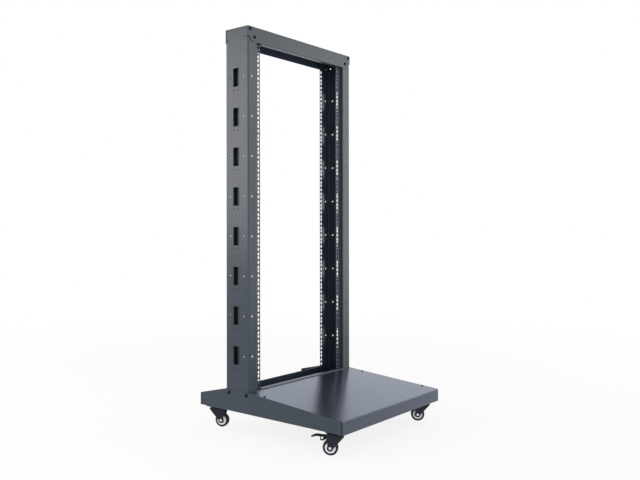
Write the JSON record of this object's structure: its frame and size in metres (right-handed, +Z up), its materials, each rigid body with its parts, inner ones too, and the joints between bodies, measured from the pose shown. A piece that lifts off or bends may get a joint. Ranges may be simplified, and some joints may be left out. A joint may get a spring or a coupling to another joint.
{
  "type": "two post open frame rack",
  "caption": "Open frame equipment rack: slotted channel posts joined by beams on a sloped rolling base with swivel casters.",
  "frame": {"origin": "on the floor under the middle of the base", "axes": "+Z up, -Y to the front over the tray, +X to the rack's right seen from the front"},
  "size_m": [0.6296, 0.6, 1.3613],
  "materials": {
    "frame_coat": "satin dark grey powder coat",
    "tray_coat": "semi-gloss dark grey powder coat",
    "caster_steel": "black lacquered steel",
    "tyre_rubber": "matt black rubber",
    "rim_plastic": "smooth light grey plastic",
    "axle_steel": "bright zinc plated steel",
    "lever_plastic": "black moulded plastic"
  },
  "bodies": {
    "rack": {"left_post_sides": "frame_coat", "left_post_bridges": "frame_coat", "left_post_faces": "frame_coat", "left_post_steps": "frame_coat", "left_post_rails": "frame_coat", "right_post_sides": "frame_coat", "right_post_bridges": "frame_coat", "right_post_faces": "frame_coat", "right_post_steps": "frame_coat", "right_post_rails": "frame_coat", "top_beam": "frame_coat", "bottom_beam": "frame_coat", "left_foot": "frame_coat", "right_foot": "frame_coat", "front_tray": "tray_coat", "front_left_caster_plate": "caster_steel", "front_left_kingpin": "caster_steel", "front_right_caster_plate": "caster_steel", "front_right_kingpin": "caster_steel", "rear_left_caster_plate": "caster_steel", "rear_left_kingpin": "caster_steel", "rear_right_caster_plate": "caster_steel", "rear_right_kingpin": "caster_steel"},
    "front_left_swivel": {"front_left_fork": "caster_steel", "front_left_axle": "axle_steel"},
    "front_left_wheel": {"front_left_tyre": "tyre_rubber", "front_left_rim": "rim_plastic"},
    "front_left_brake": {"front_left_brake_lever": "lever_plastic"},
    "front_right_swivel": {"front_right_fork": "caster_steel", "front_right_axle": "axle_steel"},
    "front_right_wheel": {"front_right_tyre": "tyre_rubber", "front_right_rim": "rim_plastic"},
    "rear_left_swivel": {"rear_left_fork": "caster_steel", "rear_left_axle": "axle_steel"},
    "rear_left_wheel": {"rear_left_tyre": "tyre_rubber", "rear_left_rim": "rim_plastic"},
    "rear_right_swivel": {"rear_right_fork": "caster_steel", "rear_right_axle": "axle_steel"},
    "rear_right_wheel": {"rear_right_tyre": "tyre_rubber", "rear_right_rim": "rim_plastic"},
    "rear_right_brake": {"rear_right_brake_lever": "lever_plastic"}
  },
  "joints": [
    {"name": "front_left_swivel_turn", "type": "hinge", "parent": "rack", "child": "front_left_swivel", "pos_m": [-0.269, -0.258, 0.072], "axis": [0, 0, 1], "continuous": true},
    {"name": "front_left_wheel_spin", "type": "hinge", "parent": "front_left_swivel", "child": "front_left_wheel", "pos_m": [-0.2787, -0.24051, 0.0235], "axis": [-0.8746, -0.4848, 0], "continuous": true},
    {"name": "front_left_brake_press", "type": "hinge", "parent": "front_left_swivel", "child": "front_left_brake", "pos_m": [-0.2816, -0.23526, 0.05845], "axis": [-0.8746, -0.4848, 0], "range_deg": [0, 10], "stiffness_Nm_per_rad": 0.6},
    {"name": "front_right_swivel_turn", "type": "hinge", "parent": "rack", "child": "front_right_swivel", "pos_m": [0.269, -0.258, 0.072], "axis": [0, 0, 1], "continuous": true},
    {"name": "front_right_wheel_spin", "type": "hinge", "parent": "front_right_swivel", "child": "front_right_wheel", "pos_m": [0.25855, -0.24095, 0.0235], "axis": [-0.8526, -0.5225, 0], "continuous": true},
    {"name": "rear_left_swivel_turn", "type": "hinge", "parent": "rack", "child": "rear_left_swivel", "pos_m": [-0.269, 0.248, 0.072], "axis": [0, 0, 1], "continuous": true},
    {"name": "rear_left_wheel_spin", "type": "hinge", "parent": "rear_left_swivel", "child": "rear_left_wheel", "pos_m": [-0.26119, 0.22959, 0.0235], "axis": [0.9205, 0.3907, 0], "continuous": true},
    {"name": "rear_right_swivel_turn", "type": "hinge", "parent": "rack", "child": "rear_right_swivel", "pos_m": [0.269, 0.248, 0.072], "axis": [0, 0, 1], "continuous": true},
    {"name": "rear_right_wheel_spin", "type": "hinge", "parent": "rear_right_swivel", "child": "rear_right_wheel", "pos_m": [0.2787, 0.23051, 0.0235], "axis": [0.8746, 0.4848, 0], "continuous": true},
    {"name": "rear_right_brake_press", "type": "hinge", "parent": "rear_right_swivel", "child": "rear_right_brake", "pos_m": [0.2816, 0.22526, 0.05845], "axis": [0.8746, 0.4848, 0], "range_deg": [0, 10], "stiffness_Nm_per_rad": 0.6}
  ]
}
